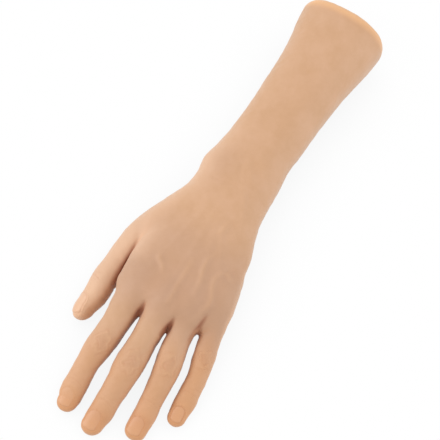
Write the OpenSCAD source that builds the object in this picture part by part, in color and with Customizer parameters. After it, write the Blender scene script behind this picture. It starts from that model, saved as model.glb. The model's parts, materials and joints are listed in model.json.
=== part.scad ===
// A hand for practising tattoos: a silicone skin cast over a jointed metal armature.
// It is a left hand that lies palm down: +Y runs to the fingertips, +X to the thumb, +Z up from the table.

/* [Forearm] */
// From the cut end to the wrist hinge
forearm_length = 139; // [110:0.1:180]
// Breadth at the cut end
end_breadth = 60; // [52:1:70]
// Depth at the cut end
end_depth = 52; // [46:1:60]
// Breadth just behind the wrist, where the forearm is slimmest
slim_breadth = 46.5; // [42:0.5:52]
// Rounding of the rim at the cut end
rim_radius = 6; // [2:0.5:9]

/* [Palm] */
// Breadth of the skin at the wrist hinge
wrist_breadth = 51; // [46:1:58]
// Depth of the skin at the wrist hinge
wrist_depth = 36; // [33:1:42]
// Height of the wrist hinge above the table
wrist_height = 22; // [20:0.5:26]
// Breadth of the palm behind the finger webs
palm_breadth = 72; // [60:0.1:87]
// Depth of the palm behind the finger webs
palm_depth = 28; // [25:0.5:32]
// From the wrist hinge to the front edge of the webs
palm_length = 97; // [80:0.1:117]

/* [Fingers] */
// Place of each middle knuckle across the hand, index to little
knuckle_x = [18.2, -2.6, -22.8, -39.4]; // [-45:0.1:25]
// From the front edge of the palm to each middle knuckle
knuckle_reach = [27.2, 28.2, 16.2, 3.7]; // [3:0.1:36]
// Height of each middle knuckle above the table
knuckle_z = [17, 17.2, 16.2, 14.2]; // [12:0.1:22]
// Height of each end knuckle above the table
end_knuckle_z = [10.2, 10.5, 10.2, 9.3]; // [8:0.1:12]
// From the middle knuckle to the end knuckle
middle_length = [27.2, 27.8, 26.2, 21.5]; // [20:0.1:34]
// From the end knuckle to the fingertip
distal_length = [20, 22.2, 22.6, 21.6]; // [18:0.1:28]
// Breadth over each middle knuckle
knuckle_breadth = [17.6, 18.2, 17.2, 13.8]; // [13:0.1:20]
// Breadth over each end knuckle
end_knuckle_breadth = [15.1, 15.4, 14.8, 12.8]; // [12.4:0.1:17]
// Degrees that each finger leans to the thumb side
splay = [1, 0, -3, -5]; // [-8:0.5:8]
// Depth of a finger as a share of its breadth
finger_depth_ratio = 0.92; // [0.88:0.01:1]

/* [Thumb] */
// From the palm's edge out to the thumb's end knuckle
thumb_out = 8.1; // [7:0.1:14]
// From the front edge of the palm back to the thumb's end knuckle
thumb_set_back = 8.3; // [0:0.1:20]
// Height of the thumb's end knuckle above the table
thumb_height = 10.9; // [9.5:0.1:12]
// Breadth over the thumb's end knuckle
thumb_breadth = 17; // [15:0.1:18]
// From the thumb's end knuckle to its tip
thumb_tip_length = 29; // [24:0.5:34]
// Degrees that the thumb's end leans outwards
thumb_splay = 3; // [0:0.5:6]
// Degrees that the thumb is rolled, so that its nail looks outwards
thumb_roll = 50; // [30:1:60]

/* [Joints] */
// Bend of the middle knuckles, in degrees
knuckle_bend = 70; // [30:1:80]
// Bend of the end knuckles, in degrees
end_knuckle_bend = 45; // [20:1:60]
// Bend of the thumb's end knuckle, in degrees
thumb_bend = 50; // [20:1:60]
// Swing of the wrist to each side, in degrees
wrist_swing = 20; // [5:1:25]
// Gap between the skins at a hinge
skin_gap = 0.6; // [0.5:0.1:1]

/* [Armature] */
// Diameter of the finger hinge pins
pin_d = 2; // [1.6:0.1:2.4]
// Diameter of the finger rods and links
rod_d = 4; // [3.4:0.1:4.8]
// Thickness of each cheek of a finger fork
cheek = 1.5; // [1.2:0.1:1.6]
// Thickness of a finger hinge's tongue
tongue = 2; // [1.6:0.1:2.2]
// Diameter of the wrist bolt
bolt_d = 6; // [5:0.5:7]
// Diameter of the forearm rod
forearm_rod_d = 10; // [8:0.5:12]
// Thickness of the palm block
block_depth = 9; // [8:0.5:10]
// Radial clearance of a running pin
running_fit = 0.05; // [0.03:0.01:0.08]
// Clearance beside and round a hinge's tongue
hinge_gap = 0.15; // [0.1:0.05:0.2]

/* [Hidden] */
$fn = 48;

FINGERS = ["index", "middle", "ring", "little"];
FINGER_PARTS = ["rod", "middle_pin", "middle_link", "middle_skin", "end_pin", "distal_link", "distal_skin"];

skin_colour = [0.86, 0.69, 0.54];
steel_colour = [0.62, 0.64, 0.67];
block_colour = [0.75, 0.76, 0.78];
foam_colour = [0.93, 0.9, 0.78];

// A fingertip rests on the table at this share of its length. Its pad is this high above it, and this slim.
touch_share = 0.55;
tip_rise = 0.9;
tip_taper = 0.93;

// The middle fingertip is the foremost point, so the whole length follows from it.
// The origin is then below the middle of the length.
LONGEST = 1;
hand_length = palm_length + knuckle_reach[LONGEST]
    + middle_length[LONGEST] * cos(middle_dip(LONGEST))
    + distal_length[LONGEST] * cos(distal_dip(LONGEST));
total_length = forearm_length + hand_length;
wrist_x = 1.3;
wrist = [wrist_x, forearm_length - total_length / 2, wrist_height];
function hand(p) = [p.x, p.y + wrist.y, p.z];

// Lean of a vector to +X and its dip below the level, in degrees.
function lean(v) = atan2(v.x, v.y);
function dip(v) = -atan2(v.z, norm([v.x, v.y]));

// Finger axes: from the palm to the middle knuckle, on to the end knuckle, and on to the tip.
root_x = [17, -2, -16.5, -29.5];
root_set_back = [17, 17, 24, 33];
root_z = [21, 21.5, 20.5, 18.5];
root_breadth = [20, 20, 18.5, 16.5];
function knuckle(i) = hand([knuckle_x[i], palm_length + knuckle_reach[i], knuckle_z[i]]);
function root(i) = hand([root_x[i], palm_length - root_set_back[i], root_z[i]]);
function root_dip(i) = dip(knuckle(i) - root(i));
function middle_dip(i) = asin((knuckle_z[i] - end_knuckle_z[i]) / middle_length[i]);
function pad_depth(i) = end_knuckle_breadth[i] / 2 * finger_depth_ratio * tip_taper;
function distal_dip(i) =
    asin((end_knuckle_z[i] - pad_depth(i) - tip_rise) / (distal_length[i] * touch_share));

// Thumb: it lies beside the palm's edge, and its tip rests on the table too.
palm_x = -4.5;
thumb_x = palm_x + palm_breadth / 2 + thumb_out;
thumb_y = palm_length - thumb_set_back;
thumb_depth_ratio = 0.95;
thumb_end = hand([thumb_x, thumb_y, thumb_height]);
thumb_pad = thumb_breadth / 2 * thumb_depth_ratio;
thumb_dip = asin((thumb_height - thumb_pad - tip_rise) / (thumb_tip_length * touch_share));

// Finger hinges: metal round a pin, a fork's neck round its rod, and room round a fork's head.
pin_wall = 2.2;
neck_wall = 0.3;
pocket_gap = 0.4;
shoulder_gap = 0.3;
fork_reach = 8;
rod_in_neck = 1;
head_r = pin_d / 2 + pin_wall;
neck_h = rod_d + 2 * neck_wall;
pocket_r = head_r + pocket_gap;
tongue_reach = pocket_r + shoulder_gap;
fork_w = tongue + 2 * hinge_gap + 2 * cheek;

// Wrist hinge
bolt_wall = 5;
wrist_cheek = 4;
wrist_tongue = 8;
wrist_slot_gap = 0.6;
wrist_reach = 20;
wrist_shoulder_gap = 1;
wrist_pocket_gap = 0.8;
bolt_head_h = 3;
bolt_head_d = bolt_d + 4;
nut_across_corners = bolt_head_d + 1.5;
nut_h = 4;
spigot_step = 1;
spigot_floor = 2;
wrist_head_r = bolt_d / 2 + bolt_wall;
wrist_neck_h = forearm_rod_d + 2 * spigot_step;
wrist_tongue_reach = wrist_head_r + wrist_shoulder_gap;
wrist_fork_w = wrist_tongue + 2 * hinge_gap + 2 * wrist_cheek;
wrist_pocket_r = wrist_head_r + wrist_pocket_gap;
wrist_pocket_w = wrist_fork_w + 2 * (nut_h + wrist_pocket_gap);
spigot_d = forearm_rod_d - 2 * spigot_step;
spigot_length = wrist_reach - wrist_head_r - spigot_floor;

// Palm block, and the bottoms of the rod sockets in it, from the wrist hinge.
block_front = 46;
block_thumb_side = 16;
block_little_side = 24;
thumb_shoulder = 24;
little_shoulder = 32;
tongue_in_block = 2;
sockets = [[10, 34, -0.5], [-3, 34, 0], [-12, 33, -0.5], [-20, 30, -1]];
thumb_socket = [12, 27, -1.5];

// Forearm core and rod, from the cut end and from the wrist hinge.
core_end = 10;
core_start = 34;
rod_end = 14;
core_end_r = 17;
core_start_r = 12;

// Larger than the hand, for the cuts.
wide = 250;

// One ring of a loft across Y: centre in x and z, half breadth and half depth.
function ring(s, n, p = 2.3) = [for (k = [0:n - 1])
    let (t = 360 * k / n, c = cos(t), q = sin(t))
    [s[1] + s[3] * sign(c) * pow(abs(c), 2 / p), s[0], s[2] + s[4] * sign(q) * pow(abs(q), 2 / p)]];

// A closed skin through rings given as [y, centre x, centre z, half breadth, half depth].
module loft(stations, n = 24) {
    rows = len(stations);
    points = [for (s = stations) each ring(s, n)];
    sides = [for (r = [0:rows - 2], k = [0:n - 1])
        let (a = r * n + k, b = r * n + (k + 1) % n)
        each [[a, b, b + n], [a, b + n, a + n]]];
    caps = [[for (k = [n - 1:-1:0]) k], [for (k = [0:n - 1]) (rows - 1) * n + k]];
    polyhedron(points, concat(sides, caps), convexity = 6);
}

// Rings that close a loft roundly: from a full ring s over a length to a small end.
function round_end(s, length) = [for (a = [0:18:72])
    [s[0] + length * sin(a), s[1], s[2], s[3] * cos(a), s[4] * cos(a)]];

// Everything ahead of a hinge's rear skin face, in the hinge's frame with its axis along X.
module ahead(bend, both_sides = false) {
    g = skin_gap / 2;
    slope = tan(bend / 2);
    rotate([90, 0, 90])
        linear_extrude(wide, center = true)
            polygon([[-g, 0], [-g - (both_sides ? wide * slope : 0), wide], [wide * 2, wide],
                [wide * 2, -wide], [-g - wide * slope, -wide]]);
}

// Everything behind a hinge's front skin face.
module behind(bend, both_sides = false) {
    mirror([0, 1, 0]) ahead(bend, both_sides);
}

// A hinge's fork: cheeks round the axis, on a neck that runs back along -Y.
module fork(head, width, slot, height, reach, bore, clear) {
    difference() {
        union() {
            rotate([0, 90, 0]) cylinder(r = head, h = width, center = true);
            translate([-width / 2, -reach, -height / 2]) cube([width, reach, height]);
        }
        translate([-slot / 2, -head - clear, -wide / 2]) cube([slot, wide, wide]);
        rotate([0, 90, 0]) cylinder(d = bore, h = wide, center = true);
    }
}

// A hinge's tongue: a round eye on a neck that runs on along +Y.
module eye(head, thick, height, reach, bore) {
    difference() {
        union() {
            rotate([0, 90, 0]) cylinder(r = head, h = thick, center = true);
            translate([-thick / 2, 0, -height / 2]) cube([thick, reach, height]);
        }
        rotate([0, 90, 0]) cylinder(d = bore, h = wide, center = true);
    }
}

module finger_fork() fork(head_r, fork_w, tongue + 2 * hinge_gap, neck_h, fork_reach, pin_d, pocket_gap);
module finger_fork_bed() translate([-fork_w / 2, -fork_reach, -neck_h / 2])
    cube([fork_w, fork_reach, neck_h]);
module finger_eye() eye(head_r, tongue, neck_h, tongue_reach + rod_in_neck, pin_d + 2 * running_fit);
module finger_pin() rotate([0, 90, 0]) cylinder(d = pin_d, h = fork_w, center = true);
module finger_pocket() rotate([0, 90, 0]) cylinder(r = pocket_r, h = fork_w + 2 * pocket_gap, center = true);

// A round bar between two points.
module bar(a, b, d) {
    v = b - a;
    translate(a) rotate([0, 0, -lean(v)]) rotate([-90 - dip(v), 0, 0]) cylinder(d = d, h = norm(v));
}

// Frames of a finger's two hinges and of its middle and last stretch.
module knuckle_frame(i) translate(knuckle(i)) rotate([0, 0, -splay[i]])
    rotate([-(root_dip(i) + middle_dip(i)) / 2, 0, 0]) children();
module middle_frame(i) translate(knuckle(i)) rotate([0, 0, -splay[i]])
    rotate([-middle_dip(i), 0, 0]) children();
module end_frame(i) middle_frame(i) translate([0, middle_length[i], 0])
    rotate([(middle_dip(i) - distal_dip(i)) / 2, 0, 0]) children();
module distal_frame(i) middle_frame(i) translate([0, middle_length[i], 0])
    rotate([middle_dip(i) - distal_dip(i), 0, 0]) children();

// The back end of a finger's fork, where its rod goes in.
function fork_back(i) =
    let (p = (root_dip(i) + middle_dip(i)) / 2)
    knuckle(i) - (fork_reach - rod_in_neck) * [sin(splay[i]) * cos(p), cos(splay[i]) * cos(p), -sin(p)];

// Frames of the thumb's end hinge and last stretch.
module thumb_frame() translate(thumb_end) rotate([0, 0, -thumb_splay]) rotate([-thumb_dip, 0, 0])
    rotate([0, thumb_roll, 0]) children();
thumb_line = [sin(thumb_splay) * cos(thumb_dip), cos(thumb_splay) * cos(thumb_dip), -sin(thumb_dip)];
thumb_back = thumb_end - (fork_reach - rod_in_neck) * thumb_line;

module wrist_frame() translate(wrist) children();

// Armature pieces without colour. A bed is the room that a fork and its rod take up in the skin.
module finger_shaft(i) bar(wrist + sockets[i], fork_back(i), rod_d);

module finger_rod_shape(i) {
    knuckle_frame(i) finger_fork();
    finger_shaft(i);
}

module finger_rod_bed(i) {
    knuckle_frame(i) finger_fork_bed();
    knuckle_frame(i) finger_pocket();
    finger_shaft(i);
}

module middle_shaft(i) {
    knuckle_frame(i) finger_eye();
    middle_frame(i) translate([0, tongue_reach, 0]) rotate([-90, 0, 0])
        cylinder(d = rod_d, h = middle_length[i] - tongue_reach - fork_reach + rod_in_neck);
}

module middle_link_shape(i) {
    middle_shaft(i);
    end_frame(i) finger_fork();
}

module middle_link_bed(i) {
    knuckle_frame(i) finger_pocket();
    middle_shaft(i);
    end_frame(i) finger_fork_bed();
    end_frame(i) finger_pocket();
}

module distal_link_shape(i) {
    end_frame(i) finger_eye();
    distal_frame(i) translate([0, tongue_reach, 0]) rotate([-90, 0, 0])
        cylinder(d = rod_d, h = distal_length[i] * touch_share - tongue_reach);
}

module thumb_shaft() bar(wrist + thumb_socket, thumb_back, rod_d);

module thumb_rod_shape() {
    thumb_frame() finger_fork();
    thumb_shaft();
}

module thumb_rod_bed() {
    thumb_frame() finger_fork_bed();
    thumb_frame() finger_pocket();
    thumb_shaft();
}

module thumb_link_shape() thumb_frame() {
    finger_eye();
    translate([0, tongue_reach, 0]) rotate([-90, 0, 0])
        cylinder(d = rod_d, h = thumb_tip_length * touch_share - tongue_reach);
}

module palm_block_shape() {
    wrist_frame() eye(wrist_head_r, wrist_tongue, block_depth, wrist_tongue_reach + tongue_in_block,
        bolt_d + 2 * running_fit);
    wrist_frame() translate([0, 0, -block_depth / 2]) linear_extrude(block_depth)
        polygon([[-wrist_tongue / 2, wrist_tongue_reach], [wrist_tongue / 2, wrist_tongue_reach],
            [block_thumb_side, thumb_shoulder], [block_thumb_side, block_front],
            [-block_little_side, block_front], [-block_little_side, little_shoulder]]);
}

module wrist_fork_shape() wrist_frame() difference() {
    fork(wrist_head_r, wrist_fork_w, wrist_tongue + 2 * hinge_gap, wrist_neck_h, wrist_reach,
        bolt_d, wrist_slot_gap);
    spigot();
}

module spigot() translate([0, -wrist_reach, 0]) rotate([-90, 0, 0]) cylinder(d = spigot_d, h = spigot_length);

module forearm_rod_shape() wrist_frame() {
    translate([0, -forearm_length + rod_end, 0]) rotate([-90, 0, 0])
        cylinder(d = forearm_rod_d, h = forearm_length - rod_end - wrist_reach);
    spigot();
}

module forearm_core_shape() wrist_frame()
    translate([0, -forearm_length + core_end, 0]) rotate([-90, 0, 0])
        cylinder(r1 = core_end_r, r2 = core_start_r, h = forearm_length - core_end - core_start);

// Skin outlines. Each runs past its hinges by a little, and the hinge faces cut it there.
past_hinge = 6;
end_x = -4;
end_z = end_depth / 2;
slim_set_back = 33;
wrist_band = 10;
slim_depth = wrist_depth + 1;
taper_at = 0.25;
taper_breadth = end_breadth * 0.9;
taper_depth = end_depth * 0.94;
middle_at = 0.45;
middle_breadth = (end_breadth + slim_breadth) / 2 - 2.6;
middle_depth = (end_depth + wrist_depth) / 2 - 1;
module forearm_outline() {
    y0 = wrist.y - forearm_length;
    rim = [for (t = [90:-30:0]) [y0 + rim_radius * (1 - sin(t)), end_x, end_z,
        end_breadth / 2 - rim_radius * (1 - cos(t)), end_depth / 2 - rim_radius * (1 - cos(t))]];
    loft(concat(rim, [
        [y0 + forearm_length * taper_at, end_x, end_z, taper_breadth / 2, taper_depth / 2],
        [y0 + forearm_length * middle_at, end_x / 2, (end_z + wrist_height) / 2,
            middle_breadth / 2, middle_depth / 2],
        [wrist.y - slim_set_back, wrist.x / 2, wrist_height, slim_breadth / 2, slim_depth / 2],
        [wrist.y - wrist_band, wrist.x, wrist_height, wrist_breadth / 2, wrist_depth / 2],
        [wrist.y + past_hinge, wrist.x, wrist_height, wrist_breadth / 2, wrist_depth / 2]]));
}

// The palm's rings, from its wrist to its front edge between the fingers:
// [ahead of the wrist, side of the palm's middle, below the wrist, share of the breadth, share of the depth].
wrist_swell = 15;
swell_breadth = wrist_breadth + 5;
swell_depth = wrist_depth - 1.4;
palm_rings = [
    [palm_length * 0.37, 4, 1.5, 0.92, 1.15],
    [palm_length * 0.62, 2, 1, 0.98, 1.06],
    [palm_length - 19, 0, 0.5, 1, 1],
    [palm_length - 7, -0.5, 2, 0.96, 0.82],
    [palm_length, -1, 3.5, 0.84, 0.5]];
module palm_outline() loft(concat([
    [wrist.y - past_hinge, wrist.x, wrist_height, wrist_breadth / 2, wrist_depth / 2],
    [wrist.y + wrist_swell, wrist.x, wrist_height, swell_breadth / 2, swell_depth / 2]],
    [for (r = palm_rings) [wrist.y + r[0], palm_x + r[1], wrist_height - r[2],
        palm_breadth / 2 * r[3], palm_depth / 2 * r[4]]]));

// The rings of the thumb's ball, out to its end knuckle:
// [share of the way ahead, share of the way out, above the knuckle's height, half breadth, half depth].
thumb_rings = [
    [0.045, 0.38, 6, 8, 9],
    [0.135, 0.51, 4.6, 12, 13],
    [0.28, 0.68, 3.6, 15, 14.3],
    [0.51, 0.84, 2.4, 13.2, 12.8],
    [0.68, 0.93, 1.1, 9.9, 10.3],
    [0.85, 0.97, 0.3, 8.9, 8.5]];
module thumb_outline() {
    a = thumb_breadth / 2;
    loft(concat([for (r = thumb_rings) [wrist.y + thumb_y * r[0], wrist.x + (thumb_x - wrist.x) * r[1],
        thumb_height + r[2], r[3], r[4]]], [
        [thumb_end.y, thumb_end.x, thumb_end.z, a, a * thumb_depth_ratio],
        [thumb_end.y + past_hinge, thumb_end.x, thumb_end.z, a, a * thumb_depth_ratio]]));
}

// A finger from inside the palm to its middle knuckle, with a slightly slimmer, deeper stretch between.
root_in_palm = 14;
root_taper = 0.7;
slim_at = 0.55;
root_slim = 0.98;
root_deep = 1.04;
knuckle_band = 2;
module finger_root_outline(i) {
    v = knuckle(i) - root(i);
    ra = root_breadth[i] / 2;
    ka = knuckle_breadth[i] / 2;
    kb = ka * finger_depth_ratio;
    translate(root(i)) rotate([0, 0, -lean(v)]) rotate([-dip(v), 0, 0]) loft([
        [-root_in_palm, 0, 0, ra * root_taper, ra * root_taper],
        [0, 0, 0, ra, ra],
        [norm(v) * slim_at, 0, 0, ka * root_slim, kb * root_deep],
        [norm(v) - knuckle_band, 0, 0, ka, kb],
        [norm(v) + past_hinge, 0, 0, ka, kb]], 20);
}

// A finger between its two knuckles, drawn in between them.
middle_slim_at = 0.6;
middle_slim = 0.5;
module middle_outline(i) {
    ka = knuckle_breadth[i] / 2;
    ea = end_knuckle_breadth[i] / 2;
    ma = (ka + ea) / 2 - middle_slim;
    h = finger_depth_ratio;
    m = middle_length[i];
    middle_frame(i) loft([
        [-past_hinge, 0, 0, ka, ka * h],
        [knuckle_band, 0, 0, ka, ka * h],
        [m * middle_slim_at, 0, 0, ma, ma * h],
        [m - knuckle_band, 0, 0, ea, ea * h],
        [m + past_hinge, 0, 0, ea, ea * h]], 20);
}

// The last stretch of a finger or of the thumb, closed roundly at its tip.
tip_narrow = 0.97;
tip_round = 1.1;
module tip_outline(a, b, length) {
    full = length - a * tip_round;
    loft(concat([
        [-past_hinge, 0, 0, a, b],
        [knuckle_band, 0, 0, a, b]],
        round_end([full, 0, 0, a * tip_narrow, b * tip_taper], length - full)), 20);
}

// The skins
module forearm_skin() color(skin_colour) difference() {
    forearm_outline();
    wrist_frame() ahead(wrist_swing, true);
    wrist_pocket();
    wrist_fork_shape();
    forearm_rod_shape();
    forearm_core_shape();
}

module wrist_pocket() wrist_frame() rotate([0, 90, 0])
    cylinder(r = wrist_pocket_r, h = wrist_pocket_w, center = true);

module palm_skin() color(skin_colour) difference() {
    union() {
        difference() {
            palm_outline();
            wrist_frame() behind(wrist_swing, true);
        }
        difference() {
            thumb_outline();
            thumb_frame() ahead(thumb_bend);
        }
        for (i = [0:len(FINGERS) - 1]) difference() {
            finger_root_outline(i);
            knuckle_frame(i) ahead(knuckle_bend);
        }
    }
    wrist_pocket();
    palm_block_shape();
    thumb_rod_bed();
    for (i = [0:len(FINGERS) - 1]) finger_rod_bed(i);
}

module middle_skin(i) color(skin_colour) difference() {
    middle_outline(i);
    knuckle_frame(i) behind(knuckle_bend);
    end_frame(i) ahead(end_knuckle_bend);
    middle_link_bed(i);
}

module distal_skin(i) color(skin_colour) difference() {
    distal_frame(i) tip_outline(end_knuckle_breadth[i] / 2,
        end_knuckle_breadth[i] / 2 * finger_depth_ratio, distal_length[i]);
    end_frame(i) behind(end_knuckle_bend);
    end_frame(i) finger_pocket();
    distal_link_shape(i);
}

module thumb_tip_skin() color(skin_colour) difference() {
    thumb_frame() tip_outline(thumb_breadth / 2, thumb_breadth / 2 * thumb_depth_ratio, thumb_tip_length);
    thumb_frame() behind(thumb_bend);
    thumb_frame() finger_pocket();
    thumb_link_shape();
}

// The armature
module forearm_core() color(foam_colour) difference() {
    forearm_core_shape();
    forearm_rod_shape();
}

module forearm_rod() color(steel_colour) forearm_rod_shape();

module wrist_fork() color(steel_colour) wrist_fork_shape();

module wrist_bolt() color(steel_colour) wrist_frame() rotate([0, 90, 0]) {
    translate([0, 0, -wrist_fork_w / 2 - bolt_head_h]) cylinder(d = bolt_head_d, h = bolt_head_h);
    translate([0, 0, -wrist_fork_w / 2]) cylinder(d = bolt_d, h = wrist_fork_w + nut_h);
}

module wrist_nut() color(steel_colour) wrist_frame() rotate([0, 90, 0])
    translate([0, 0, wrist_fork_w / 2]) difference() {
        cylinder(d = nut_across_corners, h = nut_h, $fn = 6);
        cylinder(d = bolt_d, h = wide, center = true);
    }

module palm_block() color(block_colour) difference() {
    palm_block_shape();
    for (i = [0:len(FINGERS) - 1]) finger_rod_shape(i);
    thumb_rod_shape();
}

module thumb_rod() color(steel_colour) thumb_rod_shape();
module thumb_pin() color(steel_colour) thumb_frame() finger_pin();
module thumb_link() color(steel_colour) thumb_link_shape();

module finger_rod(i) color(steel_colour) finger_rod_shape(i);
module middle_pin(i) color(steel_colour) knuckle_frame(i) finger_pin();
module middle_link(i) color(steel_colour) middle_link_shape(i);
module end_pin(i) color(steel_colour) end_frame(i) finger_pin();
module distal_link(i) color(steel_colour) distal_link_shape(i);

forearm_skin();
forearm_core();
forearm_rod();
wrist_fork();
wrist_bolt();
wrist_nut();
palm_skin();
palm_block();
thumb_rod();
thumb_pin();
thumb_link();
thumb_tip_skin();
for (i = [0:len(FINGERS) - 1]) {
    finger_rod(i);
    middle_pin(i);
    middle_link(i);
    middle_skin(i);
    end_pin(i);
    distal_link(i);
    distal_skin(i);
}
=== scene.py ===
import json
import math

import bpy
import numpy as np
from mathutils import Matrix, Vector


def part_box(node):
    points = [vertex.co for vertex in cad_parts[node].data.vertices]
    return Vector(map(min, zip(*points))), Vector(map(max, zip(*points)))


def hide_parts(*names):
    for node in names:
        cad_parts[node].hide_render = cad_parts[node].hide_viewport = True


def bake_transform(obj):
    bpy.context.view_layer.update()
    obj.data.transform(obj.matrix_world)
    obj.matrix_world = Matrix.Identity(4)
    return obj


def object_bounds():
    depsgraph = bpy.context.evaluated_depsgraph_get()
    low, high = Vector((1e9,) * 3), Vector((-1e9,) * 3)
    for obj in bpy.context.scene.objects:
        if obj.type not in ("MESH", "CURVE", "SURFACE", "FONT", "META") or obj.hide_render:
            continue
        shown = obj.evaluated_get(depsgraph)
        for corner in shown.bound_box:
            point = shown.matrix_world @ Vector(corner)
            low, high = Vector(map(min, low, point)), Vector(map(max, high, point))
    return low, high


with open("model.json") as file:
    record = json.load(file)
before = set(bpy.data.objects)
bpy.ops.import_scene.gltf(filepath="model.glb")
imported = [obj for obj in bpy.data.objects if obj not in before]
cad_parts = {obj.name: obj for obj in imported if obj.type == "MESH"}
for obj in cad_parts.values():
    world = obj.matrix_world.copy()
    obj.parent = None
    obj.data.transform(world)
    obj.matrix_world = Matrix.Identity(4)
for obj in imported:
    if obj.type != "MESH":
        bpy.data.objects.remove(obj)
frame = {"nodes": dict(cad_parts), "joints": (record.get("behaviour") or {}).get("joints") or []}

cad_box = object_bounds()

# The hand is shaped in millimetres and brought to metres once, when its meshes are made.
MM = 0.001
FAR = 1000.0
TINY = 1e-6
FINGERS = ("index", "middle", "ring", "little")
HINGES = {j["name"]: j for j in frame["joints"]}


def hinge_place(name):
    """Where a hinge's axis crosses the middle of the limb, in millimetres."""
    return np.array(HINGES[name]["pos_m"], float) / MM


WRIST = hinge_place("wrist")
THUMB_HINGE = hinge_place("thumb_knuckle")


# Curves and blends

def profile(rows):
    """A smooth curve through rows of [distance, value, value, ...]; returns a function of distance."""
    rows = np.array(rows, float)
    at, values = rows[:, 0], rows[:, 1:]
    slopes = np.gradient(values, at, axis=0)

    def value(distance):
        d = np.clip(distance, at[0], at[-1])
        i = np.clip(np.searchsorted(at, d, side="right") - 1, 0, len(at) - 2)
        gap = at[i + 1] - at[i]
        u = ((d - at[i]) / gap)[:, None]
        gap = gap[:, None]
        near = (1 + 2 * u) * (1 - u) ** 2 * values[i] + u * (1 - u) ** 2 * gap * slopes[i]
        far = u * u * (3 - 2 * u) * values[i + 1] + u * u * (u - 1) * gap * slopes[i + 1]
        return near + far

    return value


def ease(low, high, x):
    """0 below low, 1 above high, and a smooth step between. low may be the larger one."""
    t = np.clip((x - low) / (high - low), 0, 1)
    return t * t * (3 - 2 * t)


def bump(x, width):
    """A soft bell of height 1."""
    return np.exp(-((x / width) ** 2))


def melt(a, b, radius):
    """Union of two distances, with a fillet of about that radius."""
    h = np.clip(0.5 + 0.5 * (b - a) / radius, 0, 1)
    return b + (a - b) * h - radius * h * (1 - h)


def trim(a, b, radius):
    """Intersection of two distances, with a rounded edge."""
    return -melt(-a, -b, radius)


def unit(vectors):
    """The same directions, each of length 1."""
    return vectors / np.maximum(np.linalg.norm(vectors, axis=1), TINY)[:, None]


class Limb:
    """A stretch of flesh along a level line, with an oval section that changes along it.

    rows hold [distance along, offset to the thumb side, height, half breadth, half depth above, half
    depth below]. The limb closes roundly over a length past each end. roll turns the section towards
    the thumb side, and front_slant draws the front back on the little finger's side.
    """

    def __init__(self, start, lean, rows, head, tail, roll=0.0, square=2.0, front_slant=0.0):
        self.start = np.array(start, float)
        self.ahead = np.array([math.sin(lean), math.cos(lean), 0.0])
        self.aside = np.array([math.cos(lean), -math.sin(lean), 0.0])
        self.section = profile(rows)
        self.head, self.tail = head, tail
        self.cos, self.sin = math.cos(roll), math.sin(roll)
        self.square, self.front_slant = square, front_slant

    def local(self, p):
        """Distance along, across to the thumb side and up from the axis, with the half sizes there."""
        x, y = p[:, 0] - self.start[0], p[:, 1] - self.start[1]
        along = x * self.ahead[0] + y * self.ahead[1]
        v = self.section(along)
        side = x * self.aside[0] + y * self.aside[1] - v[:, 0]
        rise = p[:, 2] - v[:, 1]
        across = side * self.cos - rise * self.sin
        up = side * self.sin + rise * self.cos
        depth = np.where(up > 0, v[:, 3], v[:, 4])
        return along, across, up, v[:, 2], depth

    def distance(self, p):
        """About how far points are from this limb's skin, below zero inside."""
        along, across, up, breadth, depth = self.local(p)
        past_head = np.maximum(along - self.head[0] - self.front_slant * np.minimum(across, 0), 0)
        past_tail = np.maximum(self.tail[0] - along, 0)
        length = np.where(past_head > 0, self.head[1], self.tail[1])
        end = (past_head + past_tail) / length
        n = self.square
        x, y = np.abs(across) / breadth, np.abs(up) / depth
        k = np.maximum((x ** n + y ** n + end ** n) ** (1 / n), TINY)
        steep = (x ** (n - 1) / breadth) ** 2 + (y ** (n - 1) / depth) ** 2 + (end ** (n - 1) / length) ** 2
        return (k - 1) * k ** (n - 1) / np.maximum(np.sqrt(steep), TINY)


# The hand's limbs. Distances along them are from the wrist hinge, or from a finger's middle knuckle.

CUT_END = cad_box[0][1] / MM
CUT_MIDDLE = (-4.0, 26.0)
CUT_SLANT = 0.03
CUT_TRIM = 1.8
RIM_ROUNDING = 7.5
FOREARM_LENGTH = WRIST[1] - CUT_END

arm = Limb([0, WRIST[1], 0], 0.0, [
    [-FOREARM_LENGTH, -3.9, 26.0, 30.2, 25.6, 26.0],
    [-122, -4.1, 25.8, 28.6, 25.0, 25.5],
    [-106, -3.9, 25.0, 26.1, 23.6, 24.2],
    [-90, -2.9, 24.2, 24.2, 22.3, 22.5],
    [-76, -2.1, 23.7, 23.6, 21.0, 21.2],
    [-62, -1.6, 23.2, 23.0, 19.8, 20.0],
    [-42, -0.5, 22.6, 22.9, 18.6, 18.8],
    [-31, 0.4, 22.3, 23.0, 18.1, 18.2],
    [-20, 0.9, 22.0, 24.5, 17.8, 17.6],
    [-10, 1.6, 21.8, 25.7, 17.4, 17.4],
    [0, 0.7, 21.6, 25.3, 16.8, 17.0],
    [10, 0.3, 21.4, 26.0, 16.2, 16.2],
    [20, 0.0, 21.0, 28.0, 15.6, 15.0],
    [35, -0.9, 20.8, 31.9, 14.8, 13.4],
    [50, 0.35, 20.8, 31.8, 13.8, 12.4],
    [65, -1.4, 20.4, 33.9, 12.8, 12.0],
    [80, -5.2, 19.2, 35.0, 12.0, 11.0],
], head=(80, 17.0), tail=(-FAR, 1.0), square=2.3, front_slant=0.24)

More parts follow.
